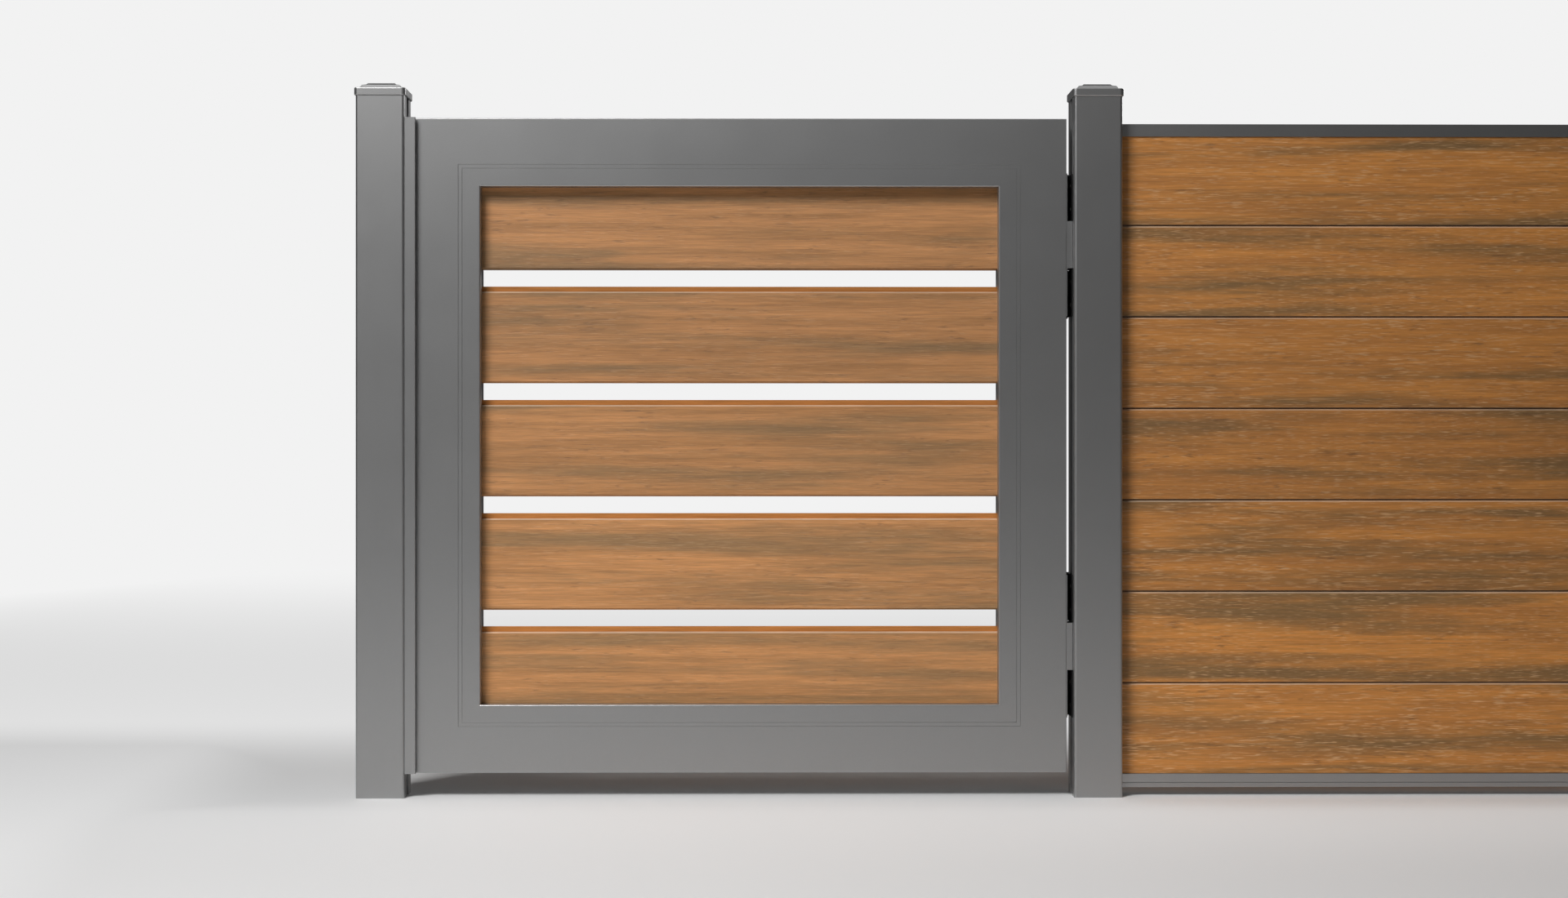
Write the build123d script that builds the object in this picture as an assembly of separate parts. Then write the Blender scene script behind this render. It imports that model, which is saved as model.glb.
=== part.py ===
"""Composite garden gate: a framed board leaf between slotted posts, with one bay of board fence.

Millimetres, Z up. The origin is the middle of the hinge post's foot. The gate lies towards -X, the
fence towards +X, and the front faces -Y. The leaf opens backwards, towards +Y.
"""
import os

from build123d import *

# Boards
board_thickness = 20.0
board_cover = 140.5
tongue_height = 7.9
tongue_thickness = 8.0
tongue_clearance = 0.3
top_bevel = 2.0
bottom_bevel = 2.5

# Posts
post_size = 74.0
post_corner_radius = 4.0
post_wall = 2.5
post_above_leaf = 42.5
slot_depth = 20.0
slot_clearance = 0.5
slot_wall = 2.0

# Post caps
cap_wall = 2.0
cap_clearance = 0.3
cap_overlap = 9.5
cap_roof = 2.2
cap_edge_radius = 1.5
cap_foot_chamfer = 1.2
cap_step_inset = 7.2
cap_step_height = 5.1
cap_step_slope = 3.4
cap_hip_width = 5.9
cap_hip_height = 1.4
cap_crown_height = 2.1
cap_crown_slope = 2.3

# Gate leaf
leaf_width = 1000.0
leaf_height = 1000.0
leaf_depth = 45.0
leaf_ground_gap = 37.0
side_gap = 10.0
member_face = 104.0
member_wall = 2.5
channel_depth = 31.0
channel_clearance = 0.25
back_lip = 2.25
inner_arris = 2.0
outer_arris = 1.0
face_line_from_edge = 27.6
face_line_spacing = 5.9
face_line_depth = 0.45

# Gate boards
gate_board_least_gap = 24.0
gate_board_top_gap = 8.0
gate_board_end_gap = 3.0
spacer_length = 26.0

# Hinges
hinge_end_distance = 192.5
knuckle_length = 72.0
knuckle_gap = 1.0
knuckle_radius = 4.5
hinge_pin_radius = 2.5
pin_clearance = 0.05
pin_head_radius = 4.0
pin_head_height = 2.5
pin_end_length = 2.0
gate_plate = 1.2
gate_plate_back_gap = 7.5
block_clearance = 0.5
post_plate = 1.5
post_plate_front_gap = 1.5
spine_depth = 8.0
spine_clearance = 0.25

# Gate stop
stop_width = 16.5
stop_thickness = 7.5
stop_leaf_clearance = 5.0
stop_wall = 1.8
stop_edge_radius = 0.8
stop_flange = 2.0
stop_rib_depth = 6.0
stop_rib_clearance = 0.5

# Fence bay
bay_clear_width = 900.0
board_slot_end_gap = 2.0
fence_ground_gap = 12.5
rail_wall = 2.0
rail_board_clearance = 0.25
bottom_rail_body = 18.5
bottom_rail_lip = 2.4
bottom_rail_lip_radius = 0.8
bottom_rail_line_height = 7.0
bottom_rail_line_depth = 0.6
top_rail_height = 19.0
top_rail_overlap = 3.0

# Sizes that follow from those above
post_half = post_size / 2
slot_width = board_thickness + 2 * slot_clearance
leaf_pitch = post_size + 2 * side_gap + leaf_width
latch_post_x = -leaf_pitch
end_post_x = post_size + bay_clear_width
leaf_right = -post_half - side_gap
leaf_left = leaf_right - leaf_width
leaf_front = -leaf_depth / 2
leaf_back = leaf_depth / 2
leaf_bottom = leaf_ground_gap
leaf_top = leaf_bottom + leaf_height
post_height = leaf_top + post_above_leaf
channel_width = board_thickness + 2 * channel_clearance
board_height = board_cover + tongue_height
gate_board_room = leaf_height - 2 * (member_face - channel_depth) - gate_board_top_gap
least_pitch = board_height + gate_board_least_gap
gate_board_count = int((gate_board_room + gate_board_least_gap) // least_pitch)
gate_board_pitch = (gate_board_room - board_height) / (gate_board_count - 1)
top_rail_rise = top_rail_height - top_rail_overlap
fence_base = fence_ground_gap + bottom_rail_body
fence_room = post_height - cap_overlap - top_rail_rise - fence_base
fence_board_count = int(fence_room // board_cover)
hinge_x = -post_half - side_gap / 2
hinge_y = leaf_back
hinge_height = 3 * knuckle_length + 2 * knuckle_gap
bore_radius = hinge_pin_radius + pin_clearance


def slab(low, high):
    """A plain block between two corners."""
    size = [b - a for a, b in zip(low, high)]
    middle = [(a + b) / 2 for a, b in zip(low, high)]
    return Pos(*middle) * Box(*size)


def rectangle(left, bottom, right, top):
    """A flat rectangle between two corners."""
    middle = Pos((left + right) / 2, (bottom + top) / 2)
    return middle * Rectangle(right - left, top - bottom)


def upright(radius, bottom, top, x, y):
    """A vertical cylinder between two heights."""
    return Pos(x, y, (bottom + top) / 2) * Cylinder(radius, top - bottom)


def board(length):
    """One tongue-and-groove board along X from X 0, centred on Y, with its underside at Z 0."""
    half = board_thickness / 2
    tongue = tongue_thickness / 2
    groove = tongue + tongue_clearance
    groove_top = tongue_height + tongue_clearance
    section = Polygon(
        (-half + bottom_bevel, 0),
        (-groove, 0),
        (-groove, groove_top),
        (groove, groove_top),
        (groove, 0),
        (half - bottom_bevel, 0),
        (half, bottom_bevel),
        (half, board_cover - top_bevel),
        (half - top_bevel, board_cover),
        (tongue, board_cover),
        (tongue, board_cover + tongue_height),
        (-tongue, board_cover + tongue_height),
        (-tongue, board_cover),
        (-half + top_bevel, board_cover),
        (-half, board_cover - top_bevel),
        (-half, bottom_bevel),
        align=None,
    )
    return extrude(Plane.YZ * section, amount=length)


def post(x):
    """A slotted post: an extruded square tube with a board channel on its left and right faces."""
    inner = post_half - post_wall
    core = post_half - slot_depth - slot_wall
    channel = slot_width / 2 + slot_wall
    web = slot_wall / 2
    section = RectangleRounded(post_size, post_size, post_corner_radius)
    slot = Pos(post_half - slot_depth / 2, 0) * Rectangle(slot_depth, slot_width)
    chamber = rectangle(-inner, channel, inner, inner) + rectangle(-core, web, core, channel)
    section -= slot + mirror(slot, about=Plane.YZ)
    section -= chamber + mirror(chamber, about=Plane.XZ)
    return Pos(x, 0, 0) * extrude(section, amount=post_height)


def hipped_tier(width, slope, bottom, height):
    """One square tier of a cap, which narrows by its slope on every side."""
    low = Rectangle(width, width)
    high = Rectangle(width - 2 * slope, width - 2 * slope)
    return loft([Pos(0, 0, bottom) * low, Pos(0, 0, bottom + height) * high], ruled=True)


def post_cap(x):
    """A hollow stepped cap that fits over the top of a post: skirt, step, hipped ledge and crown."""
    grow = cap_clearance + cap_wall
    width = post_size + 2 * grow
    skirt_bottom = post_height - cap_overlap
    skirt_height = cap_overlap + cap_roof
    cap = extrude(RectangleRounded(width, width, post_corner_radius + grow), amount=skirt_height)
    cap = fillet(cap.edges().group_by(Axis.Z)[-1], cap_edge_radius)
    cap = chamfer(cap.edges().group_by(Axis.Z)[0], cap_foot_chamfer)
    tier_width = width - 2 * cap_step_inset
    tier_bottom = skirt_height
    for slope, height in (
        (cap_step_slope, cap_step_height),
        (cap_hip_width, cap_hip_height),
        (cap_crown_slope, cap_crown_height),
    ):
        cap += hipped_tier(tier_width, slope, tier_bottom, height)
        tier_width -= 2 * slope
        tier_bottom += height
    inside_width = post_size + 2 * cap_clearance
    cap -= extrude(RectangleRounded(inside_width, inside_width, post_corner_radius + cap_clearance),
                   amount=cap_overlap)
    return Pos(x, 0, skirt_bottom) * cap


def frame_member(length):
    """One mitred frame member along Z: outer edge at X 0, front face at Y 0, board channel inwards."""
    channel_floor = member_face - channel_depth
    channel_back = leaf_depth - back_lip
    channel_front = channel_back - channel_width
    inner_line = member_face - face_line_from_edge
    outer_line = inner_line - face_line_spacing
    section = Polygon(
        (0, 0),
        (outer_line - face_line_depth, 0),
        (outer_line, face_line_depth),
        (outer_line + face_line_depth, 0),
        (inner_line - face_line_depth, 0),
        (inner_line, face_line_depth),
        (inner_line + face_line_depth, 0),
        (member_face, 0),
        (member_face, channel_front),
        (channel_floor, channel_front),
        (channel_floor, channel_back),
        (member_face, channel_back),
        (member_face, leaf_depth),
        (0, leaf_depth),
        align=None,
    )
    section = fillet(section.vertices().sort_by_distance((member_face, 0))[0], inner_arris)
    for depth in (0, leaf_depth):
        section = fillet(section.vertices().sort_by_distance((0, depth))[0], outer_arris)
    tube_inner = channel_floor - member_wall
    section -= rectangle(member_wall, member_wall, tube_inner, leaf_depth - member_wall)
    section -= rectangle(channel_floor, member_wall, member_face - member_wall, channel_front - member_wall)
    mitred = Polygon(
        (0, 0),
        (member_face, member_face),
        (member_face, length - member_face),
        (0, length),
        align=None,
    )
    return extrude(section, amount=length) & extrude(Plane.XZ * mitred, amount=-leaf_depth)


def gate_frame():
    """The four frame members, closed at their mitres."""
    stile = frame_member(leaf_height)
    rail = frame_member(leaf_width)
    return {
        "latch_stile": Pos(leaf_left, leaf_front, leaf_bottom) * stile,
        "hinge_stile": Pos(leaf_right, leaf_front, leaf_top) * Rot(0, 180, 0) * stile,
        "bottom_rail": Pos(leaf_right, leaf_front, leaf_bottom) * Rot(0, -90, 0) * rail,
        "top_rail": Pos(leaf_left, leaf_front, leaf_top) * Rot(0, 90, 0) * rail,
    }


def gate_boards():
    """The leaf's boards, from the top one down, and the blocks that hold them apart."""
    insert = channel_depth - gate_board_end_gap
    length = leaf_width - 2 * member_face + 2 * insert
    left = leaf_left + member_face - insert
    middle_y = leaf_back - back_lip - channel_width / 2
    lowest = leaf_bottom + member_face - channel_depth
    pieces = {}
    for number in range(1, gate_board_count + 1):
        height = lowest + (gate_board_count - number) * gate_board_pitch
        pieces[f"gate_board_{number}"] = Pos(left, middle_y, height) * board(length)
    half = board_thickness / 2
    latch_blocks = []
    hinge_blocks = []
    for number in range(gate_board_count - 1):
        low = lowest + number * gate_board_pitch + board_height
        high = lowest + (number + 1) * gate_board_pitch
        latch_inner = leaf_left + member_face - channel_depth + spacer_length
        hinge_inner = leaf_right - member_face + channel_depth - spacer_length
        latch_low = (latch_inner - spacer_length, middle_y - half, low)
        latch_blocks.append(slab(latch_low, (latch_inner, middle_y + half, high)))
        hinge_high = (hinge_inner + spacer_length, middle_y + half, high)
        hinge_blocks.append(slab((hinge_inner, middle_y - half, low), hinge_high))
    pieces["latch_side_spacers"] = Compound(children=latch_blocks)
    pieces["hinge_side_spacers"] = Compound(children=hinge_blocks)
    return pieces


def hinge(middle):
    """One three-knuckle hinge: post bracket, gate half and pin, centred at a height."""
    bottom = middle - hinge_height / 2
    top = middle + hinge_height / 2
    post_face = -post_half
    spine_half = slot_width / 2 - spine_clearance
    bracket = slab((post_face, -spine_half, bottom), (post_face + spine_depth, spine_half, top))
    plate_front = leaf_front + post_plate_front_gap
    for low in (bottom, top - knuckle_length):
        high = low + knuckle_length
        bracket += slab((post_face - post_plate, plate_front, low), (post_face, hinge_y, high))
        bracket += upright(knuckle_radius, low, high, hinge_x, hinge_y)
    bracket -= upright(bore_radius, bottom, top, hinge_x, hinge_y)

    block_low = bottom + knuckle_length + knuckle_gap
    block_high = block_low + knuckle_length
    plate_back = leaf_back - gate_plate_back_gap
    gate_half = slab((leaf_right, leaf_front, bottom), (leaf_right + gate_plate, plate_back, top))
    block_right = post_face - block_clearance
    gate_half += slab((leaf_right, leaf_front, block_low), (block_right, hinge_y, block_high))
    gate_half += upright(knuckle_radius, block_low, block_high, hinge_x, hinge_y)
    gate_half -= upright(bore_radius, bottom, top, hinge_x, hinge_y)

    pin = upright(hinge_pin_radius, bottom - pin_end_length, top, hinge_x, hinge_y)
    pin += upright(pin_head_radius, top, top + pin_head_height, hinge_x, hinge_y)
    return bracket, gate_half, pin


def hinges():
    """The upper and lower hinges, the same distance from the leaf's top and bottom."""
    pieces = {}
    heights = {"upper": leaf_top - hinge_end_distance, "lower": leaf_bottom + hinge_end_distance}
    for name, middle in heights.items():
        bracket, gate_half, pin = hinge(middle)
        pieces[f"{name}_hinge_bracket"] = bracket
        pieces[f"{name}_hinge_leaf"] = gate_half
        pieces[f"{name}_hinge_pin"] = pin
    return pieces


def gate_stop():
    """The hollow stop strip on the latch post, clipped into the slot by a rib on its flange."""
    left = latch_post_x + post_half
    back = leaf_front - stop_leaf_clearance
    front = back - stop_thickness
    rib_half = slot_width / 2 - stop_rib_clearance
    section = rectangle(left, front, left + stop_width, back)
    section += rectangle(left, front, left + stop_flange, rib_half)
    section = fillet(section.vertices().group_by(Axis.Y)[0], stop_edge_radius)
    section -= rectangle(left + stop_wall, front + stop_wall, left + stop_width - stop_wall, back - stop_wall)
    section += rectangle(left - stop_rib_depth, -rib_half, left, rib_half)
    return Pos(0, 0, leaf_bottom) * extrude(section, amount=leaf_height)


def fence():
    """One fence bay: boards from the bottom up, slotted into both posts, between two rails."""
    insert = slot_depth - board_slot_end_gap
    left = post_half - insert
    lowest = fence_base
    pieces = {}
    for number in range(1, fence_board_count + 1):
        height = lowest + (number - 1) * board_cover
        pieces[f"fence_board_{number}"] = Pos(left, 0, height) * board(bay_clear_width + 2 * insert)
    half = board_thickness / 2 + rail_board_clearance
    outer = half + rail_wall
    tongue = tongue_thickness / 2

    line_low = fence_ground_gap + bottom_rail_line_height - bottom_rail_line_depth
    line_high = line_low + 2 * bottom_rail_line_depth
    body = rectangle(-outer, fence_ground_gap, outer, lowest)
    body -= rectangle(-half, fence_ground_gap + rail_wall, half, lowest - rail_wall)
    body += rectangle(-tongue, lowest, tongue, lowest + tongue_height)
    for side in (-1, 1):
        low_edge, high_edge = sorted((side * half, side * outer))
        body += rectangle(low_edge, lowest, high_edge, lowest + bottom_rail_lip)
        body -= Polygon(
            (side * outer, line_low),
            (side * outer, line_high),
            (side * (outer - bottom_rail_line_depth), (line_low + line_high) / 2),
            align=None,
        )
        lip_corner = (side * outer, lowest + bottom_rail_lip)
        body = fillet(body.vertices().sort_by_distance(lip_corner)[0], bottom_rail_lip_radius)
    pieces["fence_bottom_rail"] = Pos(post_half, 0, 0) * extrude(Plane.YZ * body, amount=bay_clear_width)

    boards_top = lowest + fence_board_count * board_cover
    rail_low = boards_top - top_rail_overlap
    rail_high = boards_top + top_rail_rise
    cover = rectangle(-outer, rail_low, outer, rail_high)
    cover -= rectangle(-half, rail_low, half, boards_top + tongue_height)
    cover -= rectangle(-half, boards_top + tongue_height + rail_wall, half, rail_high - rail_wall)
    pieces["fence_top_rail"] = Pos(post_half, 0, 0) * extrude(Plane.YZ * cover, amount=bay_clear_width)
    return pieces


def gate():
    """Every piece of the gate, by name."""
    pieces = {}
    for name, x in (("latch", latch_post_x), ("hinge", 0.0), ("end", end_post_x)):
        pieces[f"{name}_post"] = post(x)
        pieces[f"{name}_post_cap"] = post_cap(x)
    pieces["gate_stop"] = gate_stop()
    pieces.update(gate_frame())
    pieces.update(gate_boards())
    pieces.update(hinges())
    pieces.update(fence())
    return pieces


os.makedirs("parts", exist_ok=True)
for name, piece in gate().items():
    export_step(piece, f"parts/{name}.step")
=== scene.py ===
"""Finishes, light and camera for the composite gate. Metres, Z up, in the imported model's frame."""
import math

import bpy
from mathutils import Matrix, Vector


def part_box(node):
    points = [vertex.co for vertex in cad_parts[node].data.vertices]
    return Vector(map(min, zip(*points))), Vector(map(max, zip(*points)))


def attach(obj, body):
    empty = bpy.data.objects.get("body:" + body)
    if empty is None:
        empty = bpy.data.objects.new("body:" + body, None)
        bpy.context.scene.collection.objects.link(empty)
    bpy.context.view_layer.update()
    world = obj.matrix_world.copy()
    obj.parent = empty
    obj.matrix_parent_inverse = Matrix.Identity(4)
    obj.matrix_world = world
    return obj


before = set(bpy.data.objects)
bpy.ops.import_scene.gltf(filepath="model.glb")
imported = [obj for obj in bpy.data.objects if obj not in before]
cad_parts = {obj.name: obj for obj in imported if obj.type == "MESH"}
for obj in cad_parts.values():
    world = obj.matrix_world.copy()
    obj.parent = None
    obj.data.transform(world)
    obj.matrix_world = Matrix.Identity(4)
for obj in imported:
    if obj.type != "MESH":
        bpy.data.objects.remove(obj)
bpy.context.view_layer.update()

# Camera, fitted to the photograph's perspective
camera_place = Vector((-0.5145, -3.7617, 0.5317))
camera_yaw = math.radians(-0.54)
camera_lens = 56.17
camera_sensor = 36.0

# Backdrop
backdrop_white = 0.888
room_level = 0.025
glow_axis = (0.0, 0.981, 0.196)
glow_level = 0.06
glow_focus = 3.0

# Floor
floor_pale = 0.90
floor_roughness = 0.7
floor_gloss = 0.2
floor_back_edge = 8.14
floor_front_edge = -14.0
floor_half_width = 16.0

# Floor fades to white, each from one place to another by an amount
floor_near_fade = (0.18, 1.05, 0.73)
floor_far_fade = (1.2, 7.0, 0.27)
floor_foot_fade = (-0.05, -0.2, 0.27)
floor_foot_end = (-0.25, -0.8, -0.18)
floor_front_fade = (-1.1, -4.5, 1.0)
floor_side_fade = (2.6, 7.0, 1.0)
floor_left_fade = (-1.25, -1.55, 0.40)

# Board colours; the gate's hold a painted whitish sheen over the composite's own colour, so they are paler
# than the fence's
gate_tones_with_sheen = {
    "clay": "#ab7744",
    "honey": "#c48952",
    "ash": "#896a44",
    "umber": "#7d5834",
    "glint_pale": "#dab58f",
}
fence_tones = {
    "clay": "#b07334",
    "honey": "#c8843a",
    "ash": "#815f34",
    "umber": "#734c26",
    "glint_pale": "#dab081",
}
tongue_orange = "#b87941"
# Pale of the painted highlight along each board's top shoulder
shoulder_highlight = "#dcc3ab"
# Dark of the painted shade in the seams along the boards' lower bevels
painted_seam_shade = "#2e1c0c"

# Board edges, with a painted highlight along each board's top shoulder and painted shade in the seam along
# its lower bevel
board_cover = 0.1405
tongue_start = 0.0001
edge_width = 0.0022
shoulder_highlight_amount = 0.42
seam_width = 0.0026

# Tone of each board, from the lowest one up, with lower boards lighter as painted bounce light from the
# floor and a board-to-board swing
tone_start = 1.12
painted_bounce_drop = 0.034
tone_swing = 0.10
tone_turn = 1.2
tone_phase = 1.1

# Board pattern, with noise scales along the board, through it and up it
board_shift = (3.37, 1.13, 0.731)
broad_scale = (1.5, 11.0, 31.0)
smudge_scale = (14.0, 40.0, 180.0)
honey_scale = (2.6, 14.0, 66.0)
fine_scale = (22.0, 120.0, 820.0)
middling_scale = (11.0, 60.0, 290.0)
thread_scale = (1.3, 40.0, 90.0)
tick_scale = (34.0, 70.0, 240.0)
patch_scale = (9.0, 12.0, 34.0)
fleck_scale = (55.0, 150.0, 660.0)
noise_middle = 0.5

# Noise levels between which each mark on the boards comes up, and how much of it shows
ash_band = (0.56, 0.84)
honey_band = (0.30, 0.70)
tick_band = (0.56, 0.74)
patch_band = (0.34, 0.62)
fleck_band = (0.52, 0.76)
smudge_amount = 0.26
thread_width = 0.010
thread_amount = 0.12
tick_amount = 0.6
bare_patch_flecks = 0.55

# Fine lines of the boards: what they are made of, and how far they darken and lighten the colour
line_fine = 0.55
line_middling = 0.45
line_band = (0.30, 0.70)
line_shade = (0.82, 1.16)

# Emboss and gloss of the boards
relief_fine = 0.6
relief_flecks = 0.5
relief_ticks = 0.5
relief_band = (0.1, 0.9)
emboss_strength = 0.35
emboss_depth = 0.0006
board_roughness = (0.60, 0.46)
board_gloss = 0.7
tongue_gloss = 0.1

# Metal and plastic
coat_grey = "#b2b2b2"
hinge_black = "#141414"
spacer_black = "#101010"
pin_grey = "#8f8d88"
pin_shade = "#7c7a76"
screw_zinc = "#a3a29e"
coat_grain = 0.0012
coat_band = (0.3, 0.7)
mottle_scale = 14.0
flake_finer = 2.2
peel_depth = 0.0002
ring_scale = (60.0, 60.0, 2600.0)
ring_tone_band = (0.3, 0.7)
ring_gloss_band = (0.2, 0.8)
pin_roughness = (0.26, 0.42)

# Sizes of the hinge screws and of the plates that they sit on
screw_radius = 0.0034
screw_top_radius = 0.0029
screw_rise = 0.0008
screw_sides = 32
socket_radius = 0.0016
socket_depth = 0.0005
socket_sides = 6
screw_row = -0.004
screw_spacing = 0.036
knuckle_length = 0.072
gate_plate = 0.0012
post_plate = 0.0015


def linear(code):
    """A colour written as sRGB hex, in linear light."""
    channels = [int(code[i:i + 2], 16) / 255 for i in (1, 3, 5)]
    straight = [c / 12.92 if c <= 0.04045 else ((c + 0.055) / 1.055) ** 2.4 for c in channels]
    return (*straight, 1.0)


# Shader helpers
def shader_node(tree, kind, inputs=None, **options):
    """Adds a node, sets its options, and sets or joins its inputs by name or number."""
    made = tree.nodes.new(kind)
    for option, value in options.items():
        setattr(made, option, value)
    for key, value in (inputs or {}).items():
        if isinstance(value, bpy.types.NodeSocket):
            tree.links.new(value, made.inputs[key])
        else:
            made.inputs[key].default_value = value
    return made


def arithmetic(tree, operation, first, second=0.0, clamp=False):
    """A Math node's result."""
    inputs = {0: first, 1: second}
    return shader_node(tree, "ShaderNodeMath", inputs, operation=operation, use_clamp=clamp).outputs[0]


def plus(tree, first, second):
    """Two values added."""
    return arithmetic(tree, "ADD", first, second)


def minus(tree, first, second):
    """The second value taken from the first."""
    return arithmetic(tree, "SUBTRACT", first, second)


def times(tree, first, second):
    """Two values multiplied."""
    return arithmetic(tree, "MULTIPLY", first, second)


def ramp(tree, value, low, high, to_low=0.0, to_high=1.0):
    """A smooth step of a value between two levels."""
    inputs = {"Value": value, "From Min": low, "From Max": high, "To Min": to_low, "To Max": to_high}
    return shader_node(tree, "ShaderNodeMapRange", inputs, interpolation_type="SMOOTHSTEP").outputs[0]


def blend_colour(tree, factor, first, second, blend_type="MIX"):
    """Two colours mixed by a factor."""
    inputs = {0: factor, 6: first, 7: second}
    return shader_node(tree, "ShaderNodeMix", inputs, data_type="RGBA", blend_type=blend_type).outputs[2]


def noise(tree, vector, scale, detail, roughness, distortion=0.0):
    """Noise at one scale."""
    return shader_node(tree, "ShaderNodeTexNoise", {
        "Vector": vector,
        "Scale": scale,
        "Detail": detail,
        "Roughness": roughness,
        "Distortion": distortion,
    }).outputs["Fac"]


def stretched_noise(tree, vector, scale, detail=2.0, roughness=0.5, distortion=0.0):
    """Noise on coordinates that are scaled by a different amount along each axis."""
    place = shader_node(tree, "ShaderNodeMapping", {"Vector": vector, "Scale": scale}).outputs[0]
    return noise(tree, place, 1.0, detail, roughness, distortion)


def new_group(name, values):
    """A node group that takes a vector and named values, and the sockets that give them inside it."""
    group = bpy.data.node_groups.new(name, "ShaderNodeTree")
    group.interface.new_socket(name="Vector", in_out="INPUT", socket_type="NodeSocketVector")
    for socket, value in values.items():
        made = group.interface.new_socket(name=socket, in_out="INPUT", socket_type="NodeSocketFloat")
        made.default_value = value
    return group, group.nodes.new("NodeGroupInput").outputs


def put_out(group, results):
    """Gives a node group its named results."""
    for name in results:
        group.interface.new_socket(name=name, in_out="OUTPUT", socket_type="NodeSocketFloat")
    result = group.nodes.new("NodeGroupOutput").inputs
    for name, value in results.items():
        group.links.new(value, result[name])


def place_group(tree, group, inputs):
    """A node group placed in a material."""
    return shader_node(tree, "ShaderNodeGroup", inputs, node_tree=group).outputs


def new_material(name):
    """A material with one Principled BSDF, its tree, and its object coordinates."""
    material = bpy.data.materials.new(name)
    material.use_nodes = True
    tree = material.node_tree
    surface = tree.nodes["Principled BSDF"]
    coordinates = tree.nodes.new("ShaderNodeTexCoord").outputs["Object"]
    return material, tree, surface, coordinates


# Shared effects
def make_board_grain():
    """Wood-like print, painted glints and emboss of composite boards that run along X and stand above each
    other, with masks for painted shoulder highlights and seam shade, and a board tone with painted bounce
    light.
    """
    group, given = new_group("board_grain", {
        "First Board": 0.0,
        "Board Pitch": 0.14,
        "Board Cover": 0.14,
        "Edge Width": 0.002,
        "Seam Width": 0.002,
    })
    axes = shader_node(group, "ShaderNodeSeparateXYZ", {0: given["Vector"]}).outputs
    above_first = minus(group, axes["Z"], given["First Board"])
    number = arithmetic(group, "FLOOR", arithmetic(group, "DIVIDE", above_first, given["Board Pitch"]))
    height = minus(group, above_first, times(group, number, given["Board Pitch"]))
    over_cover = minus(group, height, given["Board Cover"])
    tongue = arithmetic(group, "GREATER_THAN", over_cover, tongue_start)
    # A band just under the shoulder that takes a painted highlight
    from_edge = plus(group, over_cover, given["Edge Width"])
    edge = minus(group, arithmetic(group, "GREATER_THAN", from_edge, 0.0), tongue)
    # A band along each board's lower bevel, at its foot, that takes painted shade in the joint
    seam = arithmetic(group, "LESS_THAN", height, given["Seam Width"])
    # Each board's tone: painted bounce light that lightens the lower boards, and a board-to-board swing
    wave = arithmetic(group, "SINE", plus(group, times(group, number, tone_turn), tone_phase))
    drop = minus(group, tone_start, times(group, number, painted_bounce_drop))
    tone = plus(group, times(group, wave, tone_swing), drop)
    shift = shader_node(group, "ShaderNodeCombineXYZ", {
        axis: times(group, number, step) for axis, step in enumerate(board_shift)}).outputs[0]
    own = shader_node(
        group, "ShaderNodeVectorMath", {0: given["Vector"], 1: shift}, operation="ADD").outputs[0]

    broad = stretched_noise(group, own, broad_scale, 1.5, 0.5, 0.2)
    smudge = stretched_noise(group, own, smudge_scale, 3.0, 0.6)
    ash = ramp(group, plus(group, broad, times(group, smudge, smudge_amount)), *ash_band)
    honey = ramp(group, stretched_noise(group, own, honey_scale, 3.0, 0.6, 0.2), *honey_band)
    fine = stretched_noise(group, own, fine_scale, 2.0, 0.6)
    middling = stretched_noise(group, own, middling_scale, 2.0, 0.55)
    thread = stretched_noise(group, own, thread_scale, 1.0, 0.4)
    thread = arithmetic(group, "ABSOLUTE", minus(group, thread, noise_middle))
    thread = ramp(group, thread, 0.0, thread_width, 1.0, 0.0)
    lines = plus(group, times(group, fine, line_fine), times(group, middling, line_middling))
    lines = minus(group, lines, times(group, thread, thread_amount))
    ticks = ramp(group, stretched_noise(group, own, tick_scale, 2.5, 0.6, 0.3), *tick_band)
    patches = ramp(group, stretched_noise(group, own, patch_scale, 1.5), *patch_band)
    ticks = times(group, ticks, patches)
    # Flecks: raised specks in the emboss, and a pale painted glint in the colour
    flecks = ramp(group, stretched_noise(group, own, fleck_scale, 1.0, 0.5), *fleck_band)
    flecks = times(group, flecks, ramp(group, patches, 0.0, 1.0, bare_patch_flecks, 1.0))
    relief = plus(group, times(group, fine, relief_fine), times(group, flecks, relief_flecks))
    relief = minus(group, relief, times(group, ticks, relief_ticks))
    put_out(group, {
        "Ash": ash,
        "Honey": honey,
        "Lines": lines,
        "Ticks": ticks,
        "Flecks": flecks,
        "Relief": relief,
        "Tongue": tongue,
        "Edge": edge,
        "Seam": seam,
        "Tone": tone,
    })
    return group


def make_coat_texture():
    """Fine orange-peel texture and faint mottle of a sprayed coat."""
    group, given = new_group("coat_texture", {"Grain Size": coat_grain})
    frequency = arithmetic(group, "DIVIDE", 1.0, given["Grain Size"])
    peel = noise(group, given["Vector"], frequency, 2.0, 0.5)
    mottle = noise(group, given["Vector"], mottle_scale, 4.0, 0.6)
    flake = noise(group, given["Vector"], times(group, frequency, flake_finer), 1.0, 0.5)
    put_out(group, {"Peel": peel, "Mottle": mottle, "Flake": flake})
    return group


board_grain = make_board_grain()
coat_texture = make_coat_texture()


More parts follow.
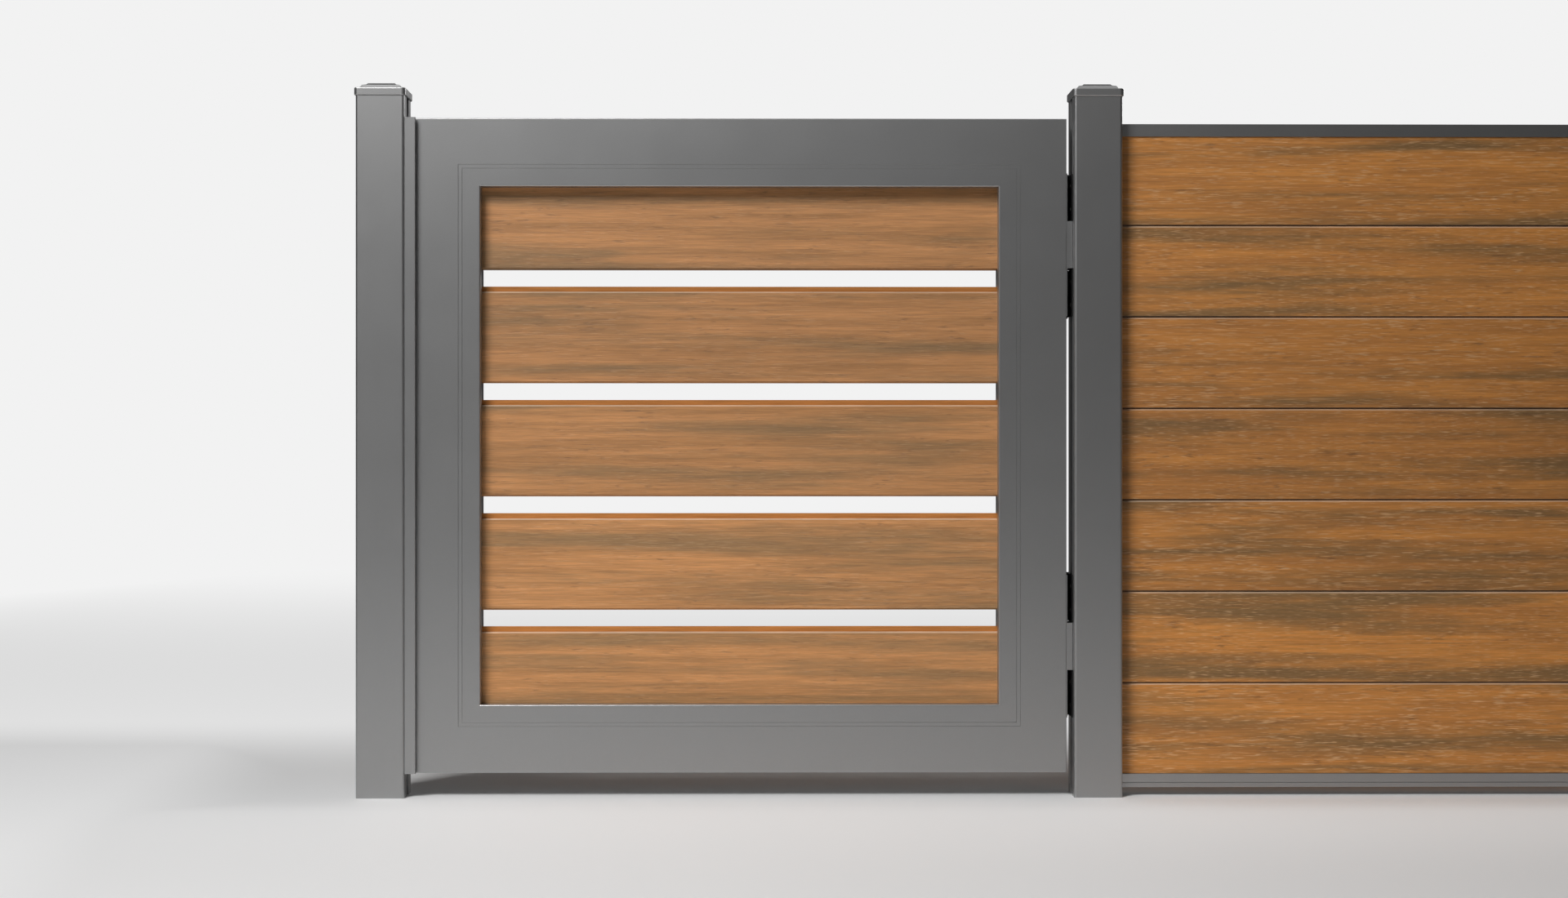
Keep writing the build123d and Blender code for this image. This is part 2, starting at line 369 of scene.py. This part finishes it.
# Materials
def composite_boards(name, tones, first_board, pitch, ash_amount, glint_fleck_amount, seam_shade_amount):
    """Brushed wood composite with streaks, ticks, flecks with painted glints, a painted highlight along each
    shoulder, painted shade in the seams and a plain tongue.
    """
    material, tree, surface, coordinates = new_material(name)
    grain = place_group(tree, board_grain, {
        "Vector": coordinates,
        "First Board": first_board,
        "Board Pitch": pitch,
        "Board Cover": board_cover,
        "Edge Width": edge_width,
        "Seam Width": seam_width,
    })
    ground = blend_colour(tree, grain["Honey"], linear(tones["clay"]), linear(tones["honey"]))
    # Marks over the ground colour: ash and ticks are the composite's own; the flecks' pale is a painted
    # glint, the shoulder's pale a painted highlight, and the seam's dark painted shade
    for mask, amount, colour in (
        ("Ash", ash_amount, tones["ash"]),
        ("Ticks", tick_amount, tones["umber"]),
        ("Flecks", glint_fleck_amount, tones["glint_pale"]),
        ("Edge", shoulder_highlight_amount, shoulder_highlight),
        ("Seam", seam_shade_amount, painted_seam_shade),
    ):
        ground = blend_colour(tree, times(tree, grain[mask], amount), ground, linear(colour))
    ground = blend_colour(tree, grain["Tongue"], ground, linear(tongue_orange))
    # Grain lines, and each board's tone with its painted bounce light
    shade = times(tree, ramp(tree, grain["Lines"], *line_band, *line_shade), grain["Tone"])
    grey = shader_node(tree, "ShaderNodeCombineColor", {0: shade, 1: shade, 2: shade}).outputs[0]
    ground = blend_colour(tree, 1.0, ground, grey, "MULTIPLY")
    gloss = ramp(tree, grain["Tongue"], 0.0, 1.0, board_gloss, tongue_gloss)
    bump = shader_node(tree, "ShaderNodeBump", {
        "Strength": emboss_strength, "Distance": emboss_depth, "Height": grain["Relief"]})
    roughness = ramp(tree, grain["Relief"], *relief_band, *board_roughness)
    tree.links.new(ground, surface.inputs["Base Color"])
    tree.links.new(roughness, surface.inputs["Roughness"])
    # The export leaves out a joined specular level, so the duller tongue shows in renders only
    tree.links.new(gloss, surface.inputs["Specular IOR Level"])
    tree.links.new(bump.outputs[0], surface.inputs["Normal"])
    return material


def sprayed_coat(name, colour, metallic, rough_low, rough_high, peel, flake):
    """A sprayed metal coat with fine peel, mottled gloss and small flakes."""
    material, tree, surface, coordinates = new_material(name)
    coat = place_group(tree, coat_texture, {"Vector": coordinates})
    dark = tuple(c * (1 - flake) for c in linear(colour)[:3])
    light = tuple(c * (1 + flake) for c in linear(colour)[:3])
    tone = blend_colour(tree, ramp(tree, coat["Flake"], *coat_band), (*dark, 1.0), (*light, 1.0))
    roughness = ramp(tree, coat["Mottle"], *coat_band, rough_low, rough_high)
    bump = shader_node(tree, "ShaderNodeBump", {
        "Strength": peel, "Distance": peel_depth, "Height": coat["Peel"]})
    tree.links.new(tone, surface.inputs["Base Color"])
    tree.links.new(roughness, surface.inputs["Roughness"])
    tree.links.new(bump.outputs[0], surface.inputs["Normal"])
    surface.inputs["Metallic"].default_value = metallic
    return material


def turned_steel(name):
    """Steel with fine rings round an upright pin."""
    material, tree, surface, coordinates = new_material(name)
    rings = stretched_noise(tree, coordinates, ring_scale, 2.0, 0.5)
    tone = blend_colour(tree, ramp(tree, rings, *ring_tone_band), linear(pin_shade), linear(pin_grey))
    roughness = ramp(tree, rings, *ring_gloss_band, *pin_roughness)
    tree.links.new(tone, surface.inputs["Base Color"])
    tree.links.new(roughness, surface.inputs["Roughness"])
    surface.inputs["Metallic"].default_value = 1.0
    return material


def paint(material, names):
    """Gives CAD nodes a material in every slot."""
    for name in names:
        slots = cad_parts[name].data.materials
        for number in range(len(slots)):
            slots[number] = material


def named(*starts):
    """CAD nodes whose names start with one of these."""
    return [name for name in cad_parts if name.startswith(starts)]


gate_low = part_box("gate_board_5")[0].z
gate_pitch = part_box("gate_board_4")[0].z - gate_low
fence_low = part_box("fence_board_1")[0].z
fence_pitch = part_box("fence_board_2")[0].z - fence_low

grey_coat = sprayed_coat(
    "frame_grey_coat", coat_grey, metallic=0.93, rough_low=0.355, rough_high=0.365, peel=0.05, flake=0.03)
black_coat = sprayed_coat(
    "hinge_black_coat", hinge_black, metallic=0.3, rough_low=0.38, rough_high=0.50, peel=0.2, flake=0.1)
spacer_plastic = sprayed_coat(
    "spacer_black_plastic", spacer_black, metallic=0.0, rough_low=0.55, rough_high=0.7, peel=0.3, flake=0.1)
pin_steel = turned_steel("pin_turned_steel")
gate_composite = composite_boards(
    "gate_board_composite", gate_tones_with_sheen, gate_low, gate_pitch,
    ash_amount=0.85, glint_fleck_amount=0.16, seam_shade_amount=0.0)
fence_composite = composite_boards(
    "fence_board_composite", fence_tones, fence_low, fence_pitch,
    ash_amount=1.0, glint_fleck_amount=0.58, seam_shade_amount=0.85)
screw_coat = sprayed_coat(
    "screw_zinc_plate", screw_zinc, metallic=1.0, rough_low=0.28, rough_high=0.38, peel=0.05, flake=0.03)

paint(grey_coat, named("latch_post", "hinge_post", "end_post", "gate_stop", "latch_stile", "hinge_stile"))
paint(grey_coat, named("top_rail", "bottom_rail", "fence_top_rail", "fence_bottom_rail"))
paint(grey_coat, ["upper_hinge_leaf", "lower_hinge_leaf"])
paint(black_coat, ["upper_hinge_bracket", "lower_hinge_bracket"])
paint(spacer_plastic, ["latch_side_spacers", "hinge_side_spacers"])
paint(pin_steel, ["upper_hinge_pin", "lower_hinge_pin"])
paint(gate_composite, named("gate_board"))
paint(fence_composite, named("fence_board"))


# Hinge screws
def array_copies(piece, count, rise):
    """Copies a piece upwards, at one spacing."""
    array = piece.modifiers.new("copies", "ARRAY")
    array.count = count
    array.use_relative_offset = False
    array.use_constant_offset = True
    array.constant_offset_displace = (0, 0, rise)
    bpy.ops.object.modifier_apply(modifier=array.name)


def drive_screws(name, plate_face, facing, body):
    """Low socket screws on the hinge plates that face one way: two in each end of both hinges."""
    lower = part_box("lower_hinge_bracket")
    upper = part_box("upper_hinge_bracket")
    lowest = lower[0].z + knuckle_length / 2 - screw_spacing / 2
    zone_rise = lower[1].z - lower[0].z - knuckle_length
    turn = (0, facing * math.pi / 2, 0)
    bpy.ops.object.select_all(action="DESELECT")
    socket_place = (plate_face + facing * screw_rise, screw_row, lowest)
    bpy.ops.mesh.primitive_cylinder_add(
        vertices=socket_sides, radius=socket_radius, depth=2 * socket_depth,
        location=socket_place, rotation=turn)
    socket = bpy.context.object
    head_place = (plate_face + facing * screw_rise / 2, screw_row, lowest)
    bpy.ops.mesh.primitive_cone_add(
        vertices=screw_sides, radius1=screw_radius, radius2=screw_top_radius, depth=screw_rise,
        location=head_place, rotation=turn)
    heads = bpy.context.object
    heads.name = name
    bpy.ops.object.transform_apply(location=True, rotation=True, scale=True)
    cut = heads.modifiers.new("socket", "BOOLEAN")
    cut.operation = "DIFFERENCE"
    cut.object = socket
    bpy.ops.object.modifier_apply(modifier=cut.name)
    bpy.data.objects.remove(socket)
    for rise in (screw_spacing, zone_rise, upper[0].z - lower[0].z):
        array_copies(heads, 2, rise)
    heads.data.materials.append(screw_coat)
    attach(heads, body)


gate_plate_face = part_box("hinge_stile")[1].x + gate_plate
post_plate_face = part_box("hinge_post")[0].x - post_plate
drive_screws("gate_hinge_screws", gate_plate_face, 1, "gate_leaf")
drive_screws("post_hinge_screws", post_plate_face, -1, "posts_and_fence")


# Floor, backdrop, light and camera
def lay_floor():
    """A pale floor that fades into the white backdrop all round the gate."""
    bpy.ops.object.select_all(action="DESELECT")
    middle = (floor_back_edge + floor_front_edge) / 2
    bpy.ops.mesh.primitive_plane_add(size=1, location=(0, middle, 0))
    floor = bpy.context.object
    floor.name = "studio_floor"
    floor.scale = (2 * floor_half_width, floor_back_edge - floor_front_edge, 1)
    bpy.ops.object.transform_apply(location=True, rotation=True, scale=True)
    material, tree, surface, coordinates = new_material("studio_floor_pale")
    surface.inputs["Base Color"].default_value = (floor_pale, floor_pale, floor_pale, 1)
    surface.inputs["Roughness"].default_value = floor_roughness
    surface.inputs["Specular IOR Level"].default_value = floor_gloss
    axes = shader_node(tree, "ShaderNodeSeparateXYZ", {0: coordinates}).outputs
    aside = arithmetic(tree, "ABSOLUTE", axes["X"])
    fade = 0.0
    for place, (start, end, amount) in (
        (axes["Y"], floor_near_fade),
        (axes["Y"], floor_far_fade),
        (axes["Y"], floor_foot_fade),
        (axes["Y"], floor_foot_end),
        (axes["Y"], floor_front_fade),
        (aside, floor_side_fade),
    ):
        step = ramp(tree, place, start, end, 0.0, amount)
        fade = arithmetic(tree, "ADD", step, fade, clamp=True)
    start, end, amount = floor_left_fade
    fade = arithmetic(tree, "MAXIMUM", fade, ramp(tree, axes["X"], start, end, 0.0, amount))
    camera_ray = shader_node(tree, "ShaderNodeLightPath").outputs["Is Camera Ray"]
    white = shader_node(tree, "ShaderNodeEmission", {
        "Color": (backdrop_white, backdrop_white, backdrop_white, 1), "Strength": 1.0})
    mixed = shader_node(tree, "ShaderNodeMixShader", {
        0: times(tree, fade, camera_ray), 1: surface.outputs[0], 2: white.outputs[0]})
    tree.links.new(mixed.outputs[0], tree.nodes["Material Output"].inputs["Surface"])
    floor.data.materials.append(material)
    return floor


def hang_backdrop():
    """A world that the camera sees as white, and that lights the gate as a dim room, brighter behind."""
    world = bpy.data.worlds.new("studio")
    bpy.context.scene.world = world
    world.use_nodes = True
    tree = world.node_tree
    direction = tree.nodes.new("ShaderNodeTexCoord").outputs["Generated"]
    facing = shader_node(
        tree, "ShaderNodeVectorMath", {0: direction, 1: glow_axis}, operation="DOT_PRODUCT").outputs["Value"]
    facing = arithmetic(tree, "MAXIMUM", facing, 0.0)
    glow = times(tree, arithmetic(tree, "POWER", facing, glow_focus), glow_level)
    light = plus(tree, glow, room_level)
    camera_ray = shader_node(tree, "ShaderNodeLightPath").outputs["Is Camera Ray"]
    level = shader_node(tree, "ShaderNodeMix", {0: camera_ray, 2: light, 3: backdrop_white}).outputs[0]
    background = tree.nodes["Background"]
    tree.links.new(level, background.inputs["Color"])
    background.inputs["Strength"].default_value = 1.0


def hang_lamp(name, place, aim, width, height, power, spread=180):
    """A soft box that faces a point. A spread below 180 degrees dims it away from its aim."""
    data = bpy.data.lights.new(name, "AREA")
    data.shape = "RECTANGLE"
    data.size = width
    data.size_y = height
    data.energy = power
    data.spread = math.radians(spread)
    lamp = bpy.data.objects.new(name, data)
    lamp.location = place
    lamp.rotation_euler = (Vector(aim) - Vector(place)).to_track_quat("-Z", "Y").to_euler()
    bpy.context.scene.collection.objects.link(lamp)
    return lamp


def spare_floor(lamp, floor):
    """Keeps a lamp's light off the floor, so that the shadow under the gate stays dark."""
    unlit = bpy.data.collections.new(lamp.name + "_unlit")
    unlit.objects.link(floor)
    unlit.collection_objects[0].light_linking.link_state = "EXCLUDE"
    lamp.light_linking.receiver_collection = unlit


def set_camera():
    """The photograph's view."""
    data = bpy.data.cameras.new("photo_view")
    data.lens = camera_lens
    data.sensor_width = camera_sensor
    camera = bpy.data.objects.new("photo_view", data)
    camera.location = camera_place
    camera.rotation_euler = (math.radians(90), 0, camera_yaw)
    bpy.context.scene.collection.objects.link(camera)
    bpy.context.scene.camera = camera


studio_floor = lay_floor()
hang_backdrop()
hang_lamp(
    "left_box", place=(-2.15, -2.75, 3.4), aim=(-0.8, 0.0, 0.4),
    width=1.6, height=1.6, power=66, spread=120)
hang_lamp(
    "front_box", place=(-0.4, -2.2, 1.9), aim=(0.0, -1.6, 0.0),
    width=2.4, height=0.6, power=2.0)
hang_lamp(
    "overhead_box", place=(-0.3, -0.6, 3.2), aim=(-0.3, -0.3, 0.0),
    width=2.8, height=0.9, power=6)
hang_lamp(
    "rear_box", place=(-0.4, 1.8, 3.6), aim=(-0.4, 0.0, 0.3),
    width=2.2, height=2.2, power=3.5)
back_box = hang_lamp(
    "back_box", place=(1.6, 2.8, 2.2), aim=(-0.1, 0.0, 0.5),
    width=1.6, height=1.6, power=40)
spare_floor(back_box, studio_floor)
set_camera()
bpy.context.scene.view_settings.view_transform = "Standard"
